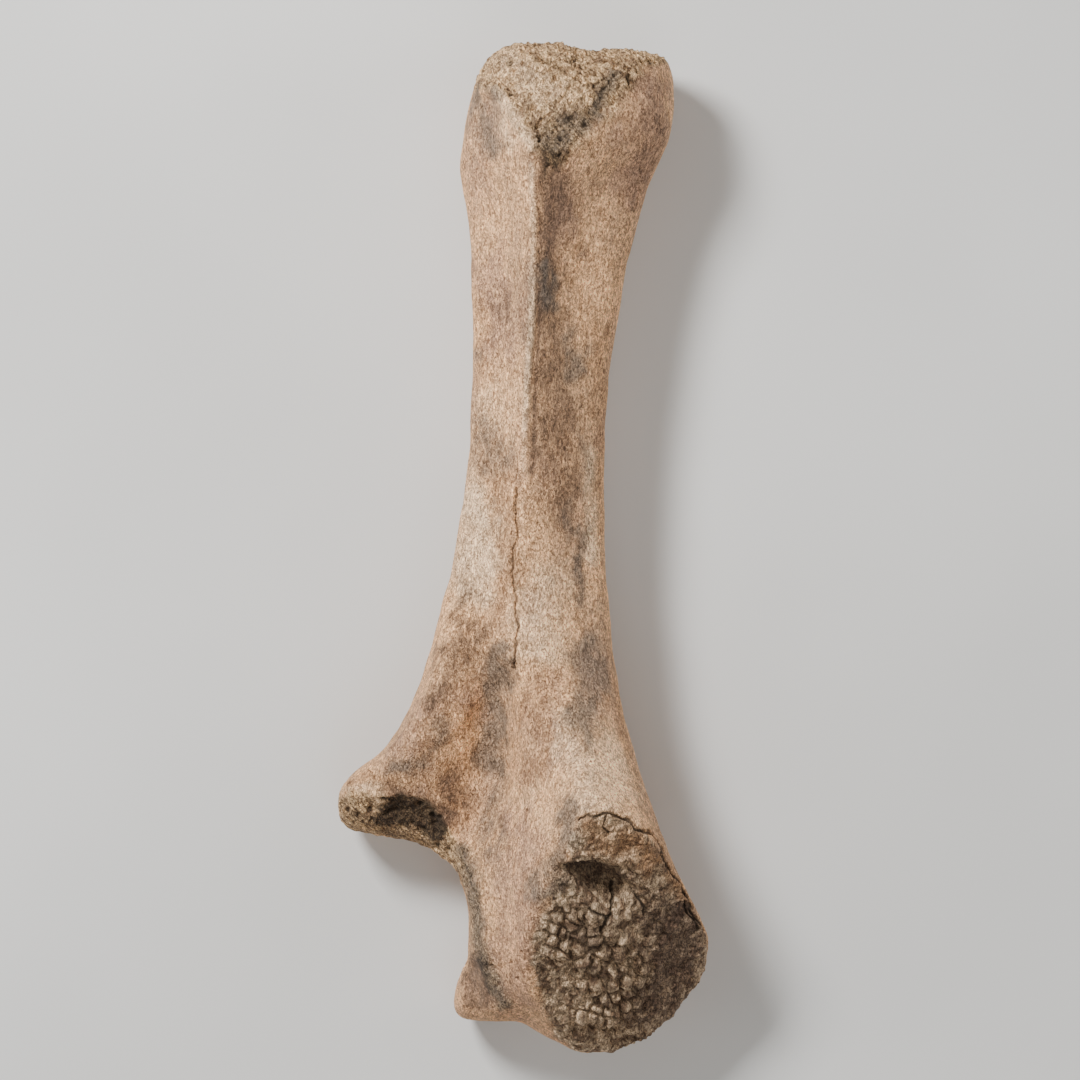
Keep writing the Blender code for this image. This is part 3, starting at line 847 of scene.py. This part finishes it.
class Recipe:
    """A material's node tree, and the few steps that its finish is written in."""

    def __init__(self, name: str) -> None:
        """Starts a material with its surface shader, its place and the masks painted on the skin.

        Args:
            name: the real material's name.
        """
        self.material = bpy.data.materials.new(name)
        self.material.use_nodes = True
        self.tree = self.material.node_tree
        self.shader = self.tree.nodes["Principled BSDF"]
        self.place = add_node(self.tree, "ShaderNodeTexCoord").outputs["Object"]
        self.masks = {}
        for mask in Mask:
            node = add_node(self.tree, "ShaderNodeAttribute", attribute_name=mask.value)
            self.masks[mask] = node.outputs["Fac"]

    def clouds(
        self, size: float, stretch: float = 1.0, detail: float = 3.0, turn: float = 0.0, bend: float = 0.0
    ) -> list[Socket]:
        """Three unlike noises with lumps of one size.

        Args:
            size: how wide the lumps are, in millimetres.
            stretch: how many times longer than wide they are.
            detail: how many finer layers they carry.
            turn: the angle from +Y that they are drawn out along, in radians.
            bend: how far they are swirled.

        Returns:
            The three, each from 0 to 1 round 0.5.
        """
        sockets = {"Vector": self.place, "Rotation": (0.0, 0.0, turn)}
        turned = add_node(self.tree, "ShaderNodeMapping", sockets).outputs[0]
        sockets = {"Vector": turned, "Scale": (1.0, 1.0 / stretch, 1.0)}
        drawn = add_node(self.tree, "ShaderNodeMapping", sockets).outputs[0]
        sockets = {"Vector": drawn, "Scale": 1.0 / (size * MM), "Detail": detail, "Distortion": bend}
        texture = add_node(self.tree, "ShaderNodeTexNoise", sockets)
        parts = add_node(self.tree, "ShaderNodeSeparateColor", {"Color": texture.outputs["Color"]})
        return list(parts.outputs)[:3]

    def layer(
        self,
        below: Socket | tuple,
        above: Socket | str | tuple,
        pattern: Socket,
        span: tuple[float, float],
        top: float = 1.0,
        blend: str = "MIX",
    ) -> Socket:
        """Lays a colour over what is below it where a pattern is strong.

        Args:
            below: what it goes over.
            above: the colour, as a hex value, as linear parts or from a node.
            pattern: the noise or mask that says where.
            span: the pattern's values where the colour begins and where it is full.
            top: its greatest share.
            blend: how the two are mixed.

        Returns:
            The colour with the layer on it.
        """
        sockets = {"Value": pattern, "From Min": span[0], "From Max": span[1], "To Max": top}
        share = add_node(self.tree, "ShaderNodeMapRange", sockets, interpolation_type="SMOOTHSTEP").outputs[0]
        above = linear_colour(above) if isinstance(above, str) else above
        sockets = {0: share, 6: below, 7: above}
        return add_node(self.tree, "ShaderNodeMix", sockets, data_type="RGBA", blend_type=blend).outputs[2]

    def masked_layer(
        self, below: Socket, above: Socket | str, mask: Mask, cloud: Socket, spread: float, top: float
    ) -> Socket:
        """Lays a colour over a painted mask whose edge a cloud breaks up, for stains that crept through bone,
        for kinds of surface, and for painted highlights and shade.

        Args:
            below: what it goes over.
            above: the colour.
            mask: where it was painted.
            cloud: the noise that breaks it up.
            The colour with the layer in it.
            top: its greatest share.

        Returns:
            The colour with the stain in it.
        """
        shift = add_node(self.tree, "ShaderNodeMath", {0: cloud, 1: 0.5}, operation="SUBTRACT").outputs[0]
        sockets = {0: shift, 1: spread, 2: self.masks[mask]}
        broken = add_node(self.tree, "ShaderNodeMath", sockets, operation="MULTIPLY_ADD").outputs[0]
        return self.layer(below, above, broken, (0.0, 1.0), top)


@dataclass(frozen=True)
class BoneNoises:
    """The noises that dry bone is drawn with, three unlike ones of each kind.

    tints are broad, edges small enough to break up the edges of stains, and mottles and grain finer still.
    fibres run along the shaft, ribs slant across it, and chambers tells how far the middle of one is.
    """

    tints: list[Socket]
    edges: list[Socket]
    mottles: list[Socket]
    grain: list[Socket]
    fibres: list[Socket]
    ribs: list[Socket]
    chambers: Socket


@dataclass(frozen=True)
class FossilBone:
    """Dry ice-age bone: a hard, close-grained skin over a spongy inside, stained by the ground it lay in.

    It's matt and slightly uneven to the eye, and smoother only where a joint rubbed it. Its sizes are in
    millimetres. The grain of the skin, real fibres and pinholes 0.1 to 0.3 mm wide, is drawn 0.75 mm wide, or
    it would be lost in the render. Highlights, a sheen and shade are painted into its colour in places.
    """

    tan: str = "#cca27b"
    fair: str = "#ebb98a"
    rose: str = "#a37e6d"
    ochre: str = "#aa805b"
    umber: str = "#58453a"
    grey: str = "#665f57"
    pale: str = "#ffdcb4"
    sponge_light: str = "#e6c194"
    sponge_dark: str = "#8f7358"
    growth_light: str = "#c8ae90"
    growth_dark: str = "#78614c"
    # Near-black brown, for soil and for painted shade in the hollows and open chambers.
    dirt_and_shade: str = "#2c2219"
    gap: tuple[float, float, float, float] = (0.36, 0.30, 0.25, 1.0)
    fleck: tuple[float, float, float, float] = (1.8, 1.74, 1.64, 1.0)
    clouds: float = 20.0
    cloud_edges: float = 4.5
    flecks: float = 0.75
    mottles: float = 2.4
    fibres: float = 1.3
    ribs: float = 1.0
    openings: float = 1.5
    roughness: float = 0.63
    roughness_varies: float = 0.3
    rougher_where_spongy: float = 0.15
    smoother_where_worn: float = -0.22
    ior: float = 1.54
    specular: float = 0.3

    def make(self) -> bpy.types.Material:
        """Builds the material.

        Returns:
            The material.
        """
        recipe = Recipe("dry_fossil_bone")
        tree, shader = recipe.tree, recipe.shader
        sockets = {"Vector": recipe.place, "Scale": 1.0 / (self.openings * MM)}
        noises = BoneNoises(
            tints=recipe.clouds(self.clouds, 2.2, 3.0),
            edges=recipe.clouds(self.cloud_edges, 1.7, 4.0, bend=0.4),
            mottles=recipe.clouds(self.mottles, 2.2, 2.0, bend=0.6),
            grain=recipe.clouds(self.flecks, 1.9, 1.5, bend=1.2),
            fibres=recipe.clouds(self.fibres, 7.0, 2.0),
            ribs=recipe.clouds(self.ribs, 6.0, 2.0, -0.75, 0.3),
            chambers=add_node(tree, "ShaderNodeTexVoronoi", sockets).outputs["Distance"],
        )
        edges = noises.edges
        colour = self.hard(recipe, noises)
        colour = recipe.masked_layer(colour, self.sponge(recipe, noises), Mask.SPONGY, edges[0], 1.0, 1.0)
        colour = recipe.masked_layer(colour, self.growth(recipe, edges), Mask.GROWTH, edges[1], 0.9, 1.0)
        tree.links.new(self.grained(recipe, colour, noises), shader.inputs["Base Color"])
        tree.links.new(self.gloss(recipe, edges), shader.inputs["Roughness"])
        tree.links.new(self.bump(recipe, noises), shader.inputs["Normal"])
        shader.inputs["IOR"].default_value = self.ior
        shader.inputs["Specular IOR Level"].default_value = self.specular
        return recipe.material

    def hard(self, recipe: Recipe, noises: BoneNoises) -> Socket:
        """The hard skin with its stains, the darkest of which run along the bone's fibres, and the
        highlights, sheen and shade painted in with them.

        Args:
            recipe: the material.
            noises: what it's drawn with.

        Returns:
            The colour.
        """
        tints, edges, fibres = noises.tints, noises.edges, noises.fibres
        half = add_node(recipe.tree, "ShaderNodeMath", {0: edges[0], 1: 0.5}, operation="MULTIPLY").outputs[0]
        sockets = {0: fibres[0], 1: 0.5, 2: half}
        fibrous = add_node(recipe.tree, "ShaderNodeMath", sockets, operation="MULTIPLY_ADD").outputs[0]
        colour = recipe.layer(linear_colour(self.tan), self.fair, tints[0], (0.36, 0.62))
        colour = recipe.layer(colour, self.rose, tints[1], (0.5, 0.7), 0.35)
        colour = recipe.layer(colour, self.ochre, edges[2], (0.52, 0.72), 0.3)
        colour = recipe.layer(colour, self.umber, edges[1], (0.55, 0.75), 0.25)
        # The pale mask gives pale stains, painted highlights along the crest and the V's left limb, and a
        # painted sheen.
        colour = recipe.masked_layer(colour, self.pale, Mask.PALE, edges[0], 0.7, 0.7)
        colour = recipe.masked_layer(colour, self.rose, Mask.ROSE, edges[1], 1.1, 0.55)
        colour = recipe.masked_layer(colour, self.ochre, Mask.OCHRE, edges[2], 1.1, 0.6)
        # The umber mask gives brown stains, and painted shade by the crest, on the beak facet, on the tip and
        # in the pit.
        colour = recipe.masked_layer(colour, self.umber, Mask.UMBER, fibrous, 1.3, 0.78)
        # The grey mask gives grey stains, painted shade in the hollow behind the wing, and the grey of the
        # painted sheen.
        return recipe.masked_layer(colour, self.grey, Mask.GREY, edges[1], 0.9, 0.72)

    def sponge(self, recipe: Recipe, noises: BoneNoises) -> Socket:
        """Worn open bone: yellow-tan crumbs and fibres with brown between them.

        Args:
            recipe: the material.
            noises: what it's drawn with.

        Returns:
            The colour.
        """
        edges, ribs = noises.edges, noises.ribs
        both = add_node(recipe.tree, "ShaderNodeMath", {0: edges[2], 1: ribs[0]}, operation="ADD").outputs[0]
        colour = recipe.layer(linear_colour(self.sponge_dark), self.sponge_light, both, (0.78, 1.1))
        colour = recipe.layer(colour, self.gap, ribs[2], (0.48, 0.35), 0.88, "MULTIPLY")
        # The pale mask's painted highlight on the V's left limb also falls on spongy bone.
        colour = recipe.masked_layer(colour, self.pale, Mask.PALE, ribs[1], 0.9, 0.45)
        colour = recipe.masked_layer(colour, self.grey, Mask.GREY, edges[1], 0.9, 0.75)
        # On spongy bone the umber mask's brown stains and painted shade are near-black.
        return recipe.masked_layer(colour, self.dirt_and_shade, Mask.UMBER, ribs[0], 1.8, 0.93)

    def growth(self, recipe: Recipe, edges: list[Socket]) -> Socket:
        """The growth surface that a cartilage plate lay on: brown, with dusty lumps.

        Args:
            recipe: the material.
            edges: small clouds.

        Returns:
            The colour.
        """
        colour = recipe.layer(linear_colour(self.growth_dark), self.growth_light, edges[2], (0.38, 0.6))
        colour = recipe.masked_layer(colour, self.pale, Mask.PALE, edges[0], 0.6, 0.6)
        colour = recipe.masked_layer(colour, self.ochre, Mask.OCHRE, edges[2], 0.9, 0.6)
        colour = recipe.masked_layer(colour, self.grey, Mask.GREY, edges[1], 0.7, 0.4)
        # The umber mask's brown stains and painted shade, on the tip's lower right and in the pit under the
        # lip.
        return recipe.masked_layer(colour, self.umber, Mask.UMBER, edges[0], 0.9, 0.8)

    def openness(self, recipe: Recipe) -> Socket:
        """How far the bone's open inside shows: fully where it's spongy, and half on the growth surface.

        Args:
            recipe: the material.

        Returns:
            The share, from 0 to 1.
        """
        sockets = {0: recipe.masks[Mask.GROWTH], 1: 0.5, 2: recipe.masks[Mask.SPONGY]}
        node = add_node(recipe.tree, "ShaderNodeMath", sockets, operation="MULTIPLY_ADD", use_clamp=True)
        return node.outputs[0]

    def grained(self, recipe: Recipe, colour: Socket, noises: BoneNoises) -> Socket:
        """The grain over everything: light flecks, brown gaps, and painted shade and soil in the open
        chambers and in the hollows.

        Args:
            recipe: the material.
            colour: the colour below.
            noises: what it's drawn with.

        Returns:
            The finished colour.
        """
        grain, mottles = noises.grain, noises.mottles
        colour = recipe.layer(colour, self.fleck, grain[0], (0.52, 0.62), 1.0, "MULTIPLY")
        colour = recipe.layer(colour, self.gap, grain[0], (0.5, 0.37), 0.78, "MULTIPLY")
        colour = recipe.layer(colour, self.gap, grain[1], (0.41, 0.3), 0.8, "MULTIPLY")
        colour = recipe.layer(colour, self.gap, mottles[0], (0.5, 0.34), 0.4, "MULTIPLY")
        colour = recipe.layer(colour, self.fleck, mottles[1], (0.52, 0.66), 0.35, "MULTIPLY")
        # Painted shade and soil in the middles of the open chambers.
        sockets = {"Value": noises.chambers, "From Min": 0.4, "From Max": 0.08}
        hole = add_node(recipe.tree, "ShaderNodeMapRange", sockets).outputs[0]
        sockets = {0: hole, 1: self.openness(recipe)}
        hole = add_node(recipe.tree, "ShaderNodeMath", sockets, operation="MULTIPLY").outputs[0]
        colour = recipe.layer(colour, self.dirt_and_shade, hole, (0.0, 1.0), 0.5)
        # Painted shade and soil in the cracks, pores, grooves, pocks and pit.
        return recipe.layer(colour, self.dirt_and_shade, recipe.masks[Mask.HOLLOW], (0.1, 1.0), 0.8)

    def gloss(self, recipe: Recipe, edges: list[Socket]) -> Socket:
        """The roughness: matt, duller where it's spongy, and rubbed smoother on the joint surfaces.

        Args:
            recipe: the material.
            edges: small clouds.

        Returns:
            The roughness.
        """
        sockets = {0: edges[0], 1: self.roughness_varies, 2: self.roughness}
        value = add_node(recipe.tree, "ShaderNodeMath", sockets, operation="MULTIPLY_ADD").outputs[0]
        sockets = {0: recipe.masks[Mask.SPONGY], 1: self.rougher_where_spongy, 2: value}
        value = add_node(recipe.tree, "ShaderNodeMath", sockets, operation="MULTIPLY_ADD").outputs[0]
        sockets = {0: recipe.masks[Mask.WORN], 1: self.smoother_where_worn, 2: value}
        return add_node(recipe.tree, "ShaderNodeMath", sockets, operation="MULTIPLY_ADD").outputs[0]

    def bump(self, recipe: Recipe, noises: BoneNoises) -> Socket:
        """The fine relief, in millimetres: grain on hard bone, and chambers and fibres where it's spongy.

        Args:
            recipe: the material.
            noises: what it's drawn with.

        Returns:
            The shader's normal.
        """
        tree, grain = recipe.tree, noises.grain
        sockets = {0: recipe.masks[Mask.WORN], 1: -0.7, 2: 1.0}
        fineness = add_node(tree, "ShaderNodeMath", sockets, operation="MULTIPLY_ADD").outputs[0]
        both = add_node(tree, "ShaderNodeMath", {0: grain[0], 1: grain[1]}, operation="ADD").outputs[0]
        fine = add_node(tree, "ShaderNodeMath", {0: both, 1: fineness}, operation="MULTIPLY").outputs[0]
        sockets = {0: noises.chambers, 1: 0.8}
        chamber = add_node(tree, "ShaderNodeMath", sockets, operation="MULTIPLY").outputs[0]
        sockets = {0: noises.ribs[0], 1: 1.5, 2: chamber}
        rough = add_node(tree, "ShaderNodeMath", sockets, operation="MULTIPLY_ADD").outputs[0]
        sockets = {0: rough, 1: self.openness(recipe), 2: fine}
        height = add_node(tree, "ShaderNodeMath", sockets, operation="MULTIPLY_ADD").outputs[0]
        sockets = {"Height": height, "Distance": MM, "Strength": 1.0}
        return add_node(tree, "ShaderNodeBump", sockets).outputs["Normal"]


@dataclass(frozen=True)
class StudioPaint:
    """Matt pale emulsion on the studio floor, with the faint unevenness of a roller."""

    white: str = "#e4e3e0"
    shade: str = "#dad9d6"
    roughness: float = 0.9

    def make(self) -> bpy.types.Material:
        """Builds the material.

        Returns:
            The material.
        """
        recipe = Recipe("pale_floor_paint")
        colour = recipe.layer(linear_colour(self.white), self.shade, recipe.clouds(300.0)[0], (0.3, 0.7))
        recipe.tree.links.new(colour, recipe.shader.inputs["Base Color"])
        recipe.shader.inputs["Roughness"].default_value = self.roughness
        return recipe.material


@dataclass(frozen=True)
class Lamp:
    """A soft square lamp that faces the bone, in metres and watts."""

    name: str
    place: tuple[float, float, float]
    size: float
    watts: float

    def hang(self) -> None:
        """Makes the lamp, which isn't seen itself."""
        data = bpy.data.lights.new(self.name, "AREA")
        data.size = self.size
        data.energy = self.watts
        lamp = bpy.data.objects.new(self.name, data)
        lamp.location = self.place
        lamp.rotation_euler = (-Vector(self.place)).to_track_quat("-Z", "Y").to_euler()
        lamp.visible_camera = False
        bpy.context.scene.collection.objects.link(lamp)


@dataclass
class Studio:
    """The floor, the lights and the camera, in metres."""

    floor_size: float = 12.0
    camera_height: float = 5.0
    picture_width: float = 0.448
    picture_plane: float = 0.05
    picture_centre: tuple[float, float] = (0.0066, 0.0037)
    sensor: float = 36.0
    sky_strength: float = 0.28
    lamps: tuple[Lamp, ...] = (
        Lamp("key", (-0.75, 0.78, 1.2), 0.4, 35.0),
        Lamp("left_rim", (-1.25, -0.35, 0.4), 0.5, 3.5),
        Lamp("right_rim", (1.3, 0.25, 0.45), 0.5, 5.0),
        Lamp("front_fill", (0.2, -0.8, 1.5), 0.9, 4.0),
    )

    def build(self) -> None:
        """Sets up the whole studio."""
        self.lay_floor()
        for lamp in self.lamps:
            lamp.hang()
        self.fill_sky()
        self.set_camera()
        log.info("studio with %d lamps", len(self.lamps))

    def lay_floor(self) -> None:
        """A wide pale floor at the height that the bone rests on."""
        work = bmesh.new()
        bmesh.ops.create_grid(work, x_segments=1, y_segments=1, size=self.floor_size / 2.0)
        mesh = bpy.data.meshes.new("floor")
        work.to_mesh(mesh)
        work.free()
        mesh.materials.append(StudioPaint().make())
        floor = bpy.data.objects.new("floor", mesh)
        bpy.context.scene.collection.objects.link(floor)

    def fill_sky(self) -> None:
        """An even pale light from all round."""
        world = bpy.data.worlds.new("studio")
        world.use_nodes = True
        background = world.node_tree.nodes["Background"]
        background.inputs["Color"].default_value = (1.0, 0.98, 0.95, 1.0)
        background.inputs["Strength"].default_value = self.sky_strength
        bpy.context.scene.world = world

    def set_camera(self) -> None:
        """A long lens straight above, so that the bone fills the picture as in the photograph."""
        data = bpy.data.cameras.new("camera")
        data.sensor_width = self.sensor
        data.lens = self.sensor * (self.camera_height - self.picture_plane) / self.picture_width
        data.clip_end = 50.0
        camera = bpy.data.objects.new("camera", data)
        camera.location = (*self.picture_centre, self.camera_height)
        bpy.context.scene.collection.objects.link(camera)
        bpy.context.scene.camera = camera


def main() -> None:
    """Builds the bone and its studio."""
    logging.basicConfig(level=logging.INFO)
    skin = UlnaSkin().build()
    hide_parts("ulna")
    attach(skin, "root")
    Studio().build()


if __name__ == "__main__":
    main()
